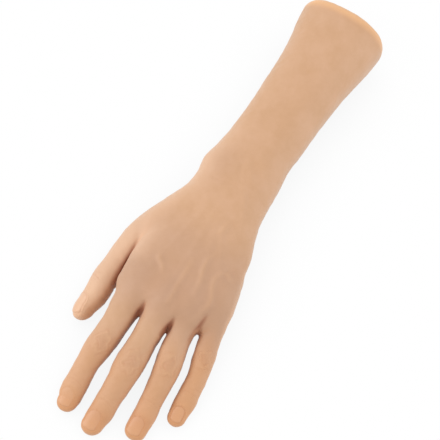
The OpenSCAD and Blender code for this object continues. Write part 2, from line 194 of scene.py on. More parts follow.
THUMB_ROLL = math.radians(50)
THUMB_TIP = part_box("thumb_tip_skin")[1][1] / MM - WRIST[1] - 1.0
THUMB_END_LENGTH = 9.0
thumb = Limb([0, WRIST[1], 0], 0.0, [
    [10, 10.4, 17.0, 9.5, 11.0, 12.0],
    [22, 18.9, 15.5, 12.0, 12.2, 13.2],
    [35, 28.4, 14.3, 12.4, 11.4, 13.0],
    [48, 34.7, 13.2, 11.2, 10.3, 11.8],
    [60, 37.8, 12.0, 10.0, 9.2, 10.2],
    [74, 39.0, 11.2, 9.1, 8.6, 9.0],
    [88, 40.2, 10.8, 8.8, 8.3, 8.2],
    [99, 40.4, 10.0, 8.0, 7.0, 8.2],
    [108, 42.1, 9.2, 6.8, 5.6, 7.6],
], head=(THUMB_TIP - THUMB_END_LENGTH, THUMB_END_LENGTH), tail=(16, 12.0), roll=THUMB_ROLL)
thumb.end_at, thumb.tip_at = THUMB_HINGE[1] - WRIST[1], THUMB_TIP

# Each finger: the knuckle on the back of the hand (offset, distance from the wrist, height) and its
# half breadth, how far the tip reaches past its plain length, then offsets to the thumb side and half
# breadths from the web to the tip.
FINGER_FORM = {
    "index": dict(root=(17.4, 79.0, 21.4), root_half=11.2, reach=-1.2,
                  side=[-0.3, 0.0, 0.4, 1.0, 0.7, 0.55, 0.1, -0.3],
                  half=[8.65, 8.65, 8.6, 7.25, 7.45, 7.55, 7.2, 6.35]),
    "middle": dict(root=(-2.0, 80.0, 21.8), root_half=9.8, reach=-0.7,
                   side=[-0.4, -0.42, -0.45, -0.7, -0.15, 0.0, 0.5, 0.65],
                   half=[8.4, 9.05, 9.2, 8.1, 7.5, 7.6, 7.05, 6.75]),
    "ring": dict(root=(-17.0, 73.0, 20.6), root_half=9.0, reach=1.8,
                 side=[0.95, 0.5, -0.2, -1.0, -1.0, -1.3, -1.0, -0.9],
                 half=[7.8, 8.5, 8.4, 7.45, 6.9, 7.15, 6.9, 6.75]),
    "little": dict(root=(-29.9, 64.0, 18.4), root_half=8.8, reach=0.2,
                   side=[0.75, 0.65, 0.1, -0.95, -0.85, -0.65, -0.1, 0.0],
                   half=[6.9, 7.0, 6.9, 6.25, 6.4, 6.7, 6.05, 5.7]),
}


def finger_limb(name):
    """A finger from its knuckle on the back of the hand to its tip, along the line of its two hinges."""
    form = FINGER_FORM[name]
    knuckle, end = hinge_place(name + "_knuckle"), hinge_place(name + "_end_knuckle")
    lean = math.atan2(end[0] - knuckle[0], end[1] - knuckle[1])
    root = np.array(form["root"]) + [0, WRIST[1], 0]
    back = root - knuckle
    root_at = back[0] * math.sin(lean) + back[1] * math.cos(lean)
    root_side = back[0] * math.cos(lean) - back[1] * math.sin(lean)
    end_at = math.hypot(end[0] - knuckle[0], end[1] - knuckle[1])
    tip_at = (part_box(name + "_distal_skin")[1][1] / MM - knuckle[1]) / math.cos(lean) + form["reach"]
    tip = tip_at - end_at
    fall = (root[2] - knuckle[2]) / -root_at
    half, side, wide = form["half"], form["side"], form["root_half"]
    end_half = half[4]
    pad = end_half * 0.95 + 0.2
    belly, round_from = end_at + tip * 0.3, tip_at - end_half * 0.9
    # Distance along, height, depth above and depth below as shares of the half breadth.
    stations = [
        [root_at * 0.36, knuckle[2] - root_at * 0.36 * fall, 0.98, 0.99],
        [-4, knuckle[2] + 4 * fall, 0.97, 0.9],
        [1, knuckle[2] - 0.2, 0.96, 0.88],
        [end_at * 0.5, (knuckle[2] + end[2]) / 2 + 0.3, 0.93, 0.98],
        [end_at - 1, end[2], 0.9, 0.92],
        [belly, pad + 1.2, 0.78, 0.98],
        [belly + (round_from - belly) * 0.6, pad + 0.3, 0.71, 1.0],
        [round_from, pad - 0.1, 0.68, 1.0],
    ]
    rows = [
        [root_at - 12, root_side, root[2] - 1, wide - 1.3, 9.6, 9.0],
        [root_at, root_side, root[2], wide, 10.8, 10.0],
        [root_at * 0.66, root_side * 0.62 + side[0] * 0.5, knuckle[2] - root_at * 0.66 * fall,
         (half[0] + wide) / 2 + 0.2, 10.0, 10.2],
    ]
    rows += [[at, s, z, h, h * above, h * below]
             for (at, z, above, below), s, h in zip(stations, side, half)]
    # The root's own offset fades out before the middle knuckle.
    rows[3][1] += root_side * 0.26
    rows[4][1] += root_side * 0.02
    limb = Limb([knuckle[0], knuckle[1], 0], lean, rows,
                head=(tip_at - end_half * 0.95, end_half * 0.95), tail=(root_at - 4, 16.0), square=2.15)
    limb.end_at, limb.tip_at, limb.root_at = end_at, tip_at, root_at
    return limb


fingers = {name: finger_limb(name) for name in FINGERS}
limb_names = list(FINGERS) + ["thumb"]
limbs = [fingers[n] for n in FINGERS] + [thumb]

# The pad of the palm below the little finger.
heel = Limb([0, WRIST[1], 0], 0.0, [
    [4, -11.0, 13.0, 8.0, 9.0, 8.5],
    [25, -15.0, 12.2, 9.5, 10.0, 10.5],
    [48, -20.5, 13.0, 9.0, 9.0, 9.5],
], head=(44, 18.0), tail=(8, 12.0))

# Fillets between the limbs, and how much larger they are behind the webs.
HEEL_FILLET = 6.0
FINGER_FILLET, FINGER_FILLET_BEHIND = 1.4, 9.0
PALM_FILLET, PALM_FILLET_BEHIND = 3.5, 7.0
THUMB_FILLET, THUMB_FILLET_BEHIND = 1.0, 13.0

# Distances from the wrist between which the clefts and the thumb's web open. The clefts lie further back
# beyond the middle finger, by a share of the way out.
CLEFT_SHUT, CLEFT_OPEN = 84.0, 97.0
CLEFT_DRAW, CLEFT_DRAW_FROM = 0.65, -11.0
THUMB_WEB_SHUT, THUMB_WEB_OPEN = 34.0, 64.0

# The gap between thumb and palm, and where it starts and is full.
THUMB_GAP = 0.75
THUMB_GAP_START, THUMB_GAP_FULL = 62.0, 74.0

# Each limb is worked out only where it counts: these are distances from the wrist.
PALM_END = 112.0
FINGERS_START = 30.0
THUMB_START, THUMB_END = -12.0, 130.0


def palm_distance(p):
    return melt(arm.distance(p), heel.distance(p), HEEL_FILLET)


def with_fingers(p, palm):
    """Adds the fingers. The back of the hand runs smoothly over the knuckles, and the clefts open before
    the webs."""
    drawn_back = CLEFT_DRAW * np.maximum(CLEFT_DRAW_FROM - p[:, 0], 0)
    behind = ease(CLEFT_OPEN, CLEFT_SHUT, p[:, 1] - WRIST[1] + drawn_back)
    roots = None
    for limb in fingers.values():
        d = limb.distance(p)
        roots = d if roots is None else melt(roots, d, FINGER_FILLET + FINGER_FILLET_BEHIND * behind)
    return melt(palm, roots, PALM_FILLET + PALM_FILLET_BEHIND * behind)


def with_thumb(p, hand):
    """Adds the thumb. Past its web it lies close to the palm, but apart from it."""
    from_wrist = p[:, 1] - WRIST[1]
    side = thumb.distance(p)
    behind = ease(THUMB_WEB_OPEN, THUMB_WEB_SHUT, from_wrist)
    whole = melt(hand, side, THUMB_FILLET + THUMB_FILLET_BEHIND * behind)
    apart = THUMB_GAP * ease(THUMB_GAP_START, THUMB_GAP_FULL, from_wrist) - np.abs(hand - side) / 2
    return np.where(from_wrist > THUMB_GAP_START, np.maximum(whole, apart), whole)


def skin_distance(p):
    """Distance from the skin, in millimetres, below zero inside."""
    from_wrist = p[:, 1] - WRIST[1]
    whole = np.full(len(p), FAR)
    near = from_wrist < PALM_END
    whole[near] = palm_distance(p[near])
    near = from_wrist > FINGERS_START
    whole[near] = with_fingers(p[near], whole[near])
    near = (from_wrist > THUMB_START) & (from_wrist < THUMB_END)
    whole[near] = with_thumb(p[near], whole[near])
    cut = CUT_END + CUT_TRIM - CUT_SLANT * (p[:, 0] - CUT_MIDDLE[0]) - p[:, 1]
    return trim(whole, cut, RIM_ROUNDING)


# Turning the distance into a mesh

GRID = 0.7
BLOCK = 8
NEAR_BLOCKS = 1.6
CHUNK = 300000
LEAST_SLOPE = 0.2


def in_chunks(function, points):
    """A function's values at many points, a part of them at a time."""
    return np.concatenate([function(points[i:i + CHUNK]) for i in range(0, len(points), CHUNK)])


def sampled_grid(low, high):
    """Distances on a grid; only blocks near the skin are sampled finely."""
    counts = (np.ceil((high - low) / GRID).astype(int) // BLOCK + 1) * BLOCK
    blocks = counts // BLOCK
    index = np.stack(np.meshgrid(*[np.arange(b) for b in blocks], indexing="ij"), -1).reshape(-1, 3)
    middles = low + (index * BLOCK + (BLOCK - 1) / 2) * GRID
    coarse = in_chunks(skin_distance, middles)
    grid = np.sign(coarse).reshape(blocks).astype(np.float32)
    for axis in range(3):
        grid = np.repeat(grid, BLOCK, axis)
    near = index[np.abs(coarse) < BLOCK * GRID * NEAR_BLOCKS]
    inner = np.stack(np.meshgrid(*[np.arange(BLOCK)] * 3, indexing="ij"), -1).reshape(-1, 3)
    cells = (near[:, None, :] * BLOCK + inner[None]).reshape(-1, 3)
    grid[tuple(cells.T)] = in_chunks(skin_distance, low + cells * GRID)
    return grid


def without_bubbles(grid):
    """The same grid, with single open points inside the flesh filled in."""
    inside = np.pad(grid < 0, 1)
    shut = np.ones(grid.shape, bool)
    for axis in range(3):
        for step in (-1, 1):
            shut &= np.roll(inside, step, axis)[1:-1, 1:-1, 1:-1]
    return np.where(shut, -np.abs(grid), grid)


CORNERS = np.array([[x, y, z] for x in (0, 1) for y in (0, 1) for z in (0, 1)])
CELL_EDGES = [(a, b) for a in range(8) for b in range(a + 1, 8)
              if np.abs(CORNERS[a] - CORNERS[b]).sum() == 1]


def net_surface(low, high):
    """Vertices and quads of the skin, one vertex in each grid cell that the skin passes through."""
    grid = without_bubbles(sampled_grid(low, high))
    inside = grid < 0

    def shifted(by):
        return inside[tuple(slice(s, size - 1 + s) for s, size in zip(by, inside.shape))]

    count = sum(shifted(corner).astype(np.int8) for corner in CORNERS)
    cells = np.argwhere((count > 0) & (count < 8))
    number = np.full(count.shape, -1, np.int64)
    number[tuple(cells.T)] = np.arange(len(cells))
    values = np.stack([grid[tuple((cells + c).T)] for c in CORNERS], 1)
    total, hits = np.zeros((len(cells), 3)), np.zeros(len(cells))
    for a, b in CELL_EDGES:
        va, vb = values[:, a], values[:, b]
        cross = (va < 0) != (vb < 0)
        t = np.where(cross, va / np.where(cross, va - vb, 1), 0)[:, None]
        total += np.where(cross[:, None], CORNERS[a] + t * (CORNERS[b] - CORNERS[a]), 0)
        hits += cross
    vertices = low + (cells + total / hits[:, None]) * GRID
    quads = []
    for axis in range(3):
        step, u, v = (np.eye(3, dtype=int)[(axis + turn) % 3] for turn in range(3))
        change = np.argwhere(shifted(0 * step) != shifted(step))
        change = change[(change[:, (axis + 1) % 3] > 0) & (change[:, (axis + 2) % 3] > 0)]
        first = inside[tuple(change.T)]
        ring = np.stack([number[tuple((change + o).T)] for o in (-u - v, -v, 0 * u, -u)], 1)
        quads.append(np.where(first[:, None], ring, ring[:, ::-1]))
    return vertices, np.concatenate(quads)


def slope_at(points, reach=0.2):
    """Gradient of the distance."""
    columns = []
    for axis in np.eye(3) * reach:
        rise = in_chunks(skin_distance, points + axis) - in_chunks(skin_distance, points - axis)
        columns.append(rise / (2 * reach))
    return np.stack(columns, 1)


def settle(points, reach=0.05):
    """Moves points onto the skin."""
    d = in_chunks(skin_distance, points)
    columns = [(in_chunks(skin_distance, points + axis) - d) / reach for axis in np.eye(3) * reach]
    g = np.stack(columns, 1)
    return points - np.clip(d / np.maximum((g * g).sum(1), LEAST_SLOPE), -GRID, GRID)[:, None] * g


def relax(points, quads, share=0.5):
    """Evens out the net."""
    total, hits = np.zeros_like(points), np.zeros(len(points))
    for k in range(4):
        for other in ((k + 1) % 4, (k + 3) % 4):
            np.add.at(total, quads[:, k], points[quads[:, other]])
            np.add.at(hits, quads[:, k], 1)
    return points + share * (total / np.maximum(hits, 1)[:, None] - points)


def halved(points, quads, wanted):
    """Splits the wanted quads into four, and closes their neighbours with triangles. A triangle is a quad
    that repeats its last corner."""
    count = len(points)

    def edge_keys(some):
        after = np.roll(some, -1, 1)
        return np.minimum(some, after) * count + np.maximum(some, after)

    chosen, others = quads[wanted], quads[~wanted]
    keys, where = np.unique(edge_keys(chosen), return_inverse=True)
    where = count + where.reshape(chosen.shape)
    centre = count + len(keys) + np.arange(len(chosen))
    added = [(points[keys // count] + points[keys % count]) / 2, points[chosen].mean(1)]
    made = [np.stack([where[:, k - 1], chosen[:, k], where[:, k], centre], 1) for k in range(4)]
    other_keys = edge_keys(others)
    split = np.isin(other_keys, keys)
    touched = split.any(1)
    fans = []
    for face, edges, cut in zip(*(a[touched].tolist() for a in (others, other_keys, split))):
        loop = []
        for k in range(4):
            loop.append(face[k])
            if cut[k]:
                loop.append(count + int(np.searchsorted(keys, edges[k])))
        first = next(k for k, v in enumerate(loop) if v >= count)
        loop = loop[first:] + loop[:first]
        fans += [(loop[0], loop[k], loop[k + 1], loop[k + 1]) for k in range(1, len(loop) - 1)]
    return np.concatenate([points] + added), np.concatenate([others[~touched]] + made + [np.array(fans)])


def vertex_normals(points, quads):
    """Normals of the whole skin, from its faces."""
    corner = [points[quads[:, k]] for k in range(4)]
    across = np.cross(corner[2] - corner[0], corner[3] - corner[1])
    normals = np.zeros_like(points)
    for k in range(4):
        np.add.at(normals, quads[:, k], across)
    return unit(normals)


# Where the net is fine, along a limb from its first hinge (the thumb: its end hinge) and round it.
FINE_FROM, THUMB_FINE_FROM = -9.0, -6.0
FINE_PAST_TIP = 2.0
FINE_ROUND, FINE_BELOW = 1.5, -3.0


def finely_marked(p):
    """True on the backs of the fingers and the thumb's end, where nails and wrinkles need a finer net."""
    near = np.zeros(len(p), bool)
    for limb in limbs:
        along, across, up, breadth, depth = limb.local(p)
        close = (np.hypot(across, up) < breadth * FINE_ROUND) & (along < limb.tip_at + FINE_PAST_TIP)
        start = limb.end_at + THUMB_FINE_FROM if limb is thumb else FINE_FROM
        near |= close & (along > start) & (up > FINE_BELOW)
    return near


MARGIN = 3.0
RELAX_ROUNDS = 2
points, faces = net_surface(np.array(cad_box[0]) / MM - MARGIN, np.array(cad_box[1]) / MM + MARGIN)
for _ in range(RELAX_ROUNDS):
    points = settle(relax(points, faces))
points, faces = halved(points, faces, finely_marked(points[faces].mean(1)))
points = settle(points)
normals = unit(slope_at(points))


# The form of the skin: lift is how far it rises, and the other fields carry its colours, painted shade,
# highlights and glow.

lift, nail, warmth_and_painted_glow, flush_and_painted_relief, redness_and_crease_shade, cleft_painted_shade, rim = (np.zeros(len(points)) for _ in range(7))
from_wrist = points[:, 1] - WRIST[1]
facing_up = normals[:, 2]
on_back, on_palm = ease(0.1, 0.55, facing_up), ease(-0.1, -0.5, facing_up)
limb_distances = np.stack([in_chunks(limb.distance, points) for limb in limbs], 1)
nearest = limb_distances.argmin(1)


def away_from(x, y):
    """Distance in plan from a place, given as (offset, distance from the wrist)."""
    return np.hypot(points[:, 0] - x, from_wrist - y)


def to_path(path):
    """Distance in plan to a line through points given as (offset, distance from the wrist), and the share
    along it."""
    best, share = np.full(len(points), FAR), np.zeros(len(points))
    for k in range(len(path) - 1):
        v = path[k + 1] - path[k]
        w = np.stack([points[:, 0], from_wrist], 1) - path[k]
        t = np.clip((w * v).sum(1) / (v * v).sum(), 0, 1)
        d = np.hypot(*(w - t[:, None] * v).T)
        share = np.where(d < best, (k + t) / (len(path) - 1), share)
        best = np.minimum(best, d)
    return best, share


def smooth_path(path, steps=8):
    """The same line with its corners rounded."""
    path = np.array(path, float)
    curve = profile(np.column_stack([np.arange(len(path)), path]))
    return curve(np.linspace(0, len(path) - 1, (len(path) - 1) * steps + 1))


def ridge(path, height, width, where):
    """Raises (or with a height below zero sinks) a line that fades at both ends."""
    d, share = to_path(smooth_path(path))
    return height * bump(d, width) * np.sin(np.pi * np.clip(share, 0, 1)) ** 0.6 * where


# Back of the hand: the knuckles, the tendons that run to them, and the veins between.
KNUCKLE_LIFT, KNUCKLE_WIDTH, KNUCKLE_STRETCH = 0.6, 6.5, 0.8
KNUCKLE_FLUSH, KNUCKLE_FLUSH_WIDTH = 0.08, 8.0
TENDON_LIFT, TENDON_WIDTH = 0.36, 2.4
VEIN_LIFT, VEIN_WIDTH = 0.68, 1.8
VEIN_PAINTED_HIGHLIGHT, VEIN_PAINTED_SHADE, VEIN_PAINTED_SHADE_WIDTH = 0.36, 0.18, 4.5
VEINS = [
    [(14.6, 60), (13.6, 64), (9.4, 67.6), (7.4, 72)],
    [(-4.0, 53), (-4.7, 60), (-4.9, 67), (-5.0, 74), (-5.8, 81), (-5.0, 88)],
    [(-14.4, 43), (-12.2, 51), (-13.2, 58), (-15.6, 66), (-16.0, 75)],
    [(-25.2, 49), (-22.0, 57), (-23.4, 64), (-27.0, 72), (-25.6, 80), (-22.3, 89)],
    [(-12.2, 22), (-10.4, 28), (-9.0, 34)],
    [(-25.5, 50.5), (-28.0, 52), (-31.0, 53.5)],
]
for name in FINGERS:
    x, y, _ = FINGER_FORM[name]["root"]
    away = np.hypot(points[:, 0] - x, (from_wrist - y + 1) * KNUCKLE_STRETCH)
    lift += KNUCKLE_LIFT * bump(away, KNUCKLE_WIDTH) * on_back
    flush_and_painted_relief += KNUCKLE_FLUSH * bump(away, KNUCKLE_FLUSH_WIDTH) * on_back
    tendon = [(x * 0.12 + 1, 12), (x * 0.6, 45), (x, y - 2)]
    lift += ridge(tendon, TENDON_LIFT, TENDON_WIDTH, on_back)
# Each vein gets a painted highlight along its crest and painted shade in a band beside it.
for path in VEINS:
    vein = ridge(path, 1.0, VEIN_WIDTH, on_back)
    lift += VEIN_LIFT * vein
    flush_and_painted_relief += VEIN_PAINTED_SHADE * ridge(path, 1.0, VEIN_PAINTED_SHADE_WIDTH, on_back) - VEIN_PAINTED_HIGHLIGHT * vein

# Darker bands across the back: strength, and the distances where they start, are full, fade and end.
FLUSH_BANDS = [(0.50, 22, 52, 84, 112), (0.16, 60, 78, 92, 108)]
for strength, start, full, fade, end in FLUSH_BANDS:
    flush_and_painted_relief += strength * on_back * ease(start, full, from_wrist) * ease(end, fade, from_wrist)

# Clefts that lead into the webs, darkened with painted shade.
CLEFT_DEPTH, CLEFT_WIDTH = 1.4, 1.3
CLEFT_RED_SHADE, CLEFT_SHADE = 0.3, 0.75
CLEFTS = [
    [(7.4, 90.5), (7.2, 94), (7.4, 99), (6.8, 106)],
    [(-13.4, 90.0), (-12.8, 94), (-11.8, 98.5), (-10.8, 104)],
    [(-29.4, 78.5), (-28.7, 84), (-27.9, 90), (-26.9, 98)],
]
for path in CLEFTS:
    cleft = ridge(path, 1.0, CLEFT_WIDTH, on_back)
    lift -= CLEFT_DEPTH * cleft
    redness_and_crease_shade += CLEFT_RED_SHADE * cleft
    cleft_painted_shade += CLEFT_SHADE * cleft

# Wrist: the bone on the little finger's side, folds and cords across its back, and a darker place.
WRIST_BONE, WRIST_BONE_LIFT, WRIST_BONE_WIDTH = (-13, -20), 1.3, 9.0
WRIST_DARK, WRIST_DARK_FLUSH, WRIST_DARK_WIDTH = (16, -8), 0.30, 13.0
# Line, height and width.
WRIST_LINES = [
    ([(-14, 3), (2, 1), (15, 4)], -0.22, 1.3),
    ([(2, 1.5), (8, 3), (14, 2)], -0.34, 1.0),
    ([(0, -22), (-4, -13), (-8, -8), (-11, -3)], 0.45, 2.0),
    ([(-6, -2), (-9.5, 3), (-14, 11), (-17, 18)], 0.45, 2.0),
    ([(2, -14), (-0.5, -8), (-4, -2)], -0.40, 1.8),
]
lift += WRIST_BONE_LIFT * bump(away_from(*WRIST_BONE), WRIST_BONE_WIDTH) * on_back
for path, height, width in WRIST_LINES:
    lift += ridge(path, height, width, on_back)
flush_and_painted_relief += WRIST_DARK_FLUSH * bump(away_from(*WRIST_DARK), WRIST_DARK_WIDTH) * on_back

# Folds on the palm side, two at the wrist and three on the palm: line, width, depth and red painted shade.
PALM_FOLDS = [
    ([(-20, -1.0), (0, 1.5), (20, -1.0)], 0.9, 0.5, 0.6),
    ([(-20, 4.5), (0, 7.0), (20, 4.5)], 0.9, 0.5, 0.6),
    ([(27, 74), (15, 70), (7, 58), (4.5, 44), (6, 28), (9, 15)], 1.0, 0.8, 0.7),
    ([(26, 73), (10, 67), (-9, 58), (-24, 47)], 1.0, 0.8, 0.7),
    ([(-38, 70), (-26, 69), (-10, 74), (3, 86)], 1.0, 0.8, 0.7),
]
for path, width, depth, red_shade in PALM_FOLDS:
    fold = ridge(path, 1.0, width, on_palm)
    lift -= depth * fold
    redness_and_crease_shade += red_shade * fold


# Fingers and thumb: nails, wrinkles over the knuckles, folds below them.

LIMB_REACH = 3.0


class LimbSkin:
    """The skin nearest to one limb, and where its points lie on that limb."""

    def __init__(self, number):
        self.number, self.name, self.limb = number, limb_names[number], limbs[number]
        self.mine = np.nonzero((nearest == number) & (limb_distances[:, number] < LIMB_REACH))[0]
        self.along, across, up, self.breadth, _ = self.limb.local(points[self.mine])
        self.radius, self.turn = np.hypot(across, up), np.arctan2(across, up)
        self.round_by = self.radius * self.turn
        self.over = ease(0.2, 0.65, np.cos(self.turn))
        self.under = ease(0.0, -0.5, np.cos(self.turn))

    def press(self, line, depth, red_shade):
        """Sinks a line into the skin and darkens it red-brown there, painted shade in the line."""
        lift[self.mine] -= depth * line
        redness_and_crease_shade[self.mine] += red_shade * line


# Nails: turn to the thumb side, half breadth, length, and how clearly the mould shows them.
NAILS = {
    "index": (11, 4.7, 10.4, 0.25),
    "middle": (12, 5.2, 11.4, 0.45),
    "ring": (9, 5.0, 11.0, 0.6),
    "little": (-3, 4.1, 9.4, 0.95),
    "thumb": (0, 6.0, 13.0, 0.8),
}
NAIL_FROM_TIP = 2.2
NAIL_BOW = 0.42
NAIL_NARROWING = 0.06
NAIL_EDGE_ARC = 1.5
NAIL_LIFT, CLEAR_NAIL_LIFT, FREE_EDGE_LIFT = 0.05, 0.05, 0.14
NAIL_WALL, NAIL_GROOVE, FREE_EDGE_GROOVE = 0.30, 0.26, 0.16
NAIL_FOLD_RED_SHADE = 0.36
RED_ENDS, RED_END = ("middle", "ring"), 0.24


def add_nail(skin):
    """A nail between its walls, bowed at its root, with a groove before its free edge."""
    tilt, half, length, clear = NAILS[skin.name]
    turned = skin.turn - math.radians(tilt)
    swung = np.arctan2(np.sin(turned), np.cos(turned))
    u, v = skin.radius * swung, skin.along - (skin.limb.tip_at - NAIL_FROM_TIP - length)
    bow = NAIL_BOW * length
    width = half * np.sqrt(np.clip(1 - (np.clip(bow - v, 0, bow) / bow) ** 2, 0, 1)) * ease(-0.01, 0.0, v)
    width *= 1 - NAIL_NARROWING * ease(length * 0.5, length, v)
    inside = np.minimum(width - np.abs(u), v)
    facing = np.cos(swung) > 0
    to_free = length - NAIL_EDGE_ARC * (u / half) ** 2 - v
    plate = ease(-0.1, 0.25, inside) * ease(-0.25, 0.1, to_free) * facing
    walls = ease(-1.0, 0.6, to_free) * facing * ease(-3.5, -1.0, v)
    before_edge = ease(-0.5, 0.5, width - np.abs(u)) * facing
    rise = (NAIL_LIFT + CLEAR_NAIL_LIFT * clear + FREE_EDGE_LIFT * ease(3.0, 0.2, to_free)) * plate
    beside = NAIL_WALL * bump(inside + 0.95, 0.8) - NAIL_GROOVE * bump(inside + 0.05, 0.4)
    rise += clear * walls * beside * (1 - 0.6 * plate)
    rise -= FREE_EDGE_GROOVE * bump(to_free + 0.55, 0.5) * before_edge
    fold = walls * bump(inside + 0.1, 0.55) + 0.4 * bump(to_free + 0.5, 0.6) * before_edge
    lift[skin.mine] += rise
    nail[skin.mine] = np.maximum(nail[skin.mine], plate)
    # The nail's walls and the groove before its free edge get red painted shade.
    redness_and_crease_shade[skin.mine] += NAIL_FOLD_RED_SHADE * clear * fold
    if skin.name in RED_ENDS:
        redness_and_crease_shade[skin.mine] += RED_END * bump(v - 1.5, 4.5) * skin.over


LIMB_WARMTH, TIP_PAINTED_GLOW = 0.4, 0.5


def add_warmth_and_glow(skin):
    """Fingers are cast warmer than the hand; their ends are warmer still, a painted glow of light through
    the thin flesh.
    """
    end_at, tip_at = skin.limb.end_at, skin.limb.tip_at
    along_it = LIMB_WARMTH * ease(end_at - 45, end_at - 15, skin.along)
    warmth_and_painted_glow[skin.mine] += along_it + TIP_PAINTED_GLOW * ease(end_at, tip_at - 2, skin.along)


# Lines over an end knuckle: place, depth and red painted shade. They part towards the sides.
END_LINES = [(-1.9, 0.06, 0.08), (0.1, 0.11, 0.16), (2.0, 0.05, 0.06)]
END_LINE_WIDTH, END_LINE_ARC = 0.5, 0.035
THUMB_LINE_STRENGTH = 1.7
FOLD_DEPTH, FOLD_RED_SHADE = 0.45, 0.5


def add_end_knuckle(skin):
    """Fine lines over the end knuckle and one fold below it."""
    from_end = skin.along - skin.limb.end_at
    for at, depth, red_shade in END_LINES:
        arc = END_LINE_ARC * skin.round_by ** 2 * np.sign(-at - 0.2)
        line = bump(from_end - at + arc, END_LINE_WIDTH)
        line *= skin.over * ease(skin.breadth * 0.95, skin.breadth * 0.5, np.abs(skin.round_by))
        line *= THUMB_LINE_STRENGTH if skin.name == "thumb" else 1.0
        skin.press(line, depth, red_shade)
    skin.press(bump(from_end, 0.7) * skin.under, FOLD_DEPTH, FOLD_RED_SHADE)


# Middle knuckles: how far past the hinge the rings have their middle, and how dark the finger is.
KNUCKLE_RINGS = {"index": (0.8, 0.16), "middle": (0.8, 0.16), "ring": (2.8, 0.16), "little": (0.8, 0.03)}
RINGS_ASIDE = 1.8
FULL_HALF_BREADTH = 9
RING_LENGTH, RING_BREADTH = 8.0, 6.2
# Size as a share of the oval, and height.
RINGS = [(0.46, -0.17), (0.76, 0.30), (1.02, -0.16)]
RING_RED_SHADE, RING_PAINTED_HIGHLIGHT = 0.22, 0.30
MOUND_LIFT, MOUND_GRAIN, MOUND_FLUSH, MOUND_REDNESS = 0.30, 0.05, 0.24, 0.10
CROSS_LINES, CROSS_DEPTH, CROSS_RED_SHADE = (-2.2, 0.2, 2.6), 0.15, 0.16
KNUCKLE_FOLDS = (-1.2, 1.4)
ROOT_FOLD_AT, ROOT_FOLD_DEPTH = 0.52, 0.5


def add_middle_knuckle(skin):
    """A mound with broken rings round its middle and short lines across them, and folds below."""
    i, over, mine = skin.number, skin.over, skin.mine
    past_hinge, shade = KNUCKLE_RINGS[skin.name]
    at, aside = skin.along - past_hinge, skin.round_by + RINGS_ASIDE
    grow = skin.breadth / FULL_HALF_BREADTH
    # The rings and lines stray and break differently on each finger.
    strayed = at + 0.9 * np.sin(0.85 * aside + 1.3 * i) + 0.45 * np.sin(1.7 * aside + 2.0 * i)
    wide_of = aside + 0.8 * np.sin(0.8 * at + 2.1 * i) + 0.4 * np.sin(1.5 * at + 0.7 * i)
    oval = np.hypot(strayed / (RING_LENGTH * grow), wide_of / (RING_BREADTH * grow))
    broken = 0.5 + 0.5 * np.sin(0.62 * at + 1.7 * i + 0.4) * np.sin(0.75 * aside + 0.6 * i + 1.0)
    mound = bump(oval, 0.8) * over
    uneven = mound * np.sin(2.1 * strayed + i) * np.sin(2.4 * wide_of + 2 * i)
    lift[mine] += MOUND_LIFT * mound + MOUND_GRAIN * uneven
    flush_and_painted_relief[mine] += MOUND_FLUSH * mound
    end_at = skin.limb.end_at
    stretch = ease(-32, -8, skin.along) * ease(end_at + 10, end_at - 6, skin.along)
    flush_and_painted_relief[mine] += shade * stretch
    redness_and_crease_shade[mine] += MOUND_REDNESS * bump(oval, 0.4) * over
    # Sunk rings get red painted shade, and raised rings a painted highlight.
    for size, height in RINGS:
        line = bump((oval - size) * 6.8 * grow, 0.75) * over * broken
        lift[mine] += height * line
        redness_and_crease_shade[mine] += RING_RED_SHADE * line * (height < 0)
        flush_and_painted_relief[mine] -= RING_PAINTED_HIGHLIGHT * line * (height > 0)
    for place in CROSS_LINES:
        line = bump(strayed - place * grow - 0.012 * place * aside ** 2, 0.5) * over * broken
        line *= ease(4.6 * grow, 2.0 * grow, np.abs(aside - 0.35 * place))
        skin.press(line, CROSS_DEPTH, CROSS_RED_SHADE)
    for place in KNUCKLE_FOLDS:
        skin.press(bump(skin.along - place, 0.65) * skin.under, FOLD_DEPTH, FOLD_RED_SHADE)
    root_fold = bump(skin.along - skin.limb.root_at * ROOT_FOLD_AT, 0.8) * skin.under
    skin.press(root_fold, ROOT_FOLD_DEPTH, FOLD_RED_SHADE)


for number, name in enumerate(limb_names):
    limb_skin = LimbSkin(number)
    add_nail(limb_skin)
    add_warmth_and_glow(limb_skin)
    add_end_knuckle(limb_skin)
    if name in FINGERS:
        add_middle_knuckle(limb_skin)

# A cast skin is never quite even: broad waves, and fine lumps a few millimetres long.
LUMP_WAVES = 26
LUMP_LENGTHS = (3.4, 8.5)
LUMP_HEIGHT = 0.042
BROAD_HEIGHT, CROSSED_HEIGHT = 0.10, 0.06
x, y, z = points.T
lift += BROAD_HEIGHT * np.sin(x * 0.23 + 1.3) * np.sin(y * 0.17)
lift += CROSSED_HEIGHT * np.sin(y * 0.41 + x * 0.19) * np.sin(z * 0.37)
draw = np.random.default_rng(5)
for _ in range(LUMP_WAVES):
    heading = draw.normal(size=3)
    turns = points @ (heading / np.linalg.norm(heading)) / draw.uniform(*LUMP_LENGTHS) + draw.uniform()
    lift += LUMP_HEIGHT * math.sqrt(2 / LUMP_WAVES) * np.sin(2 * np.pi * turns) * (1 - 0.8 * nail)

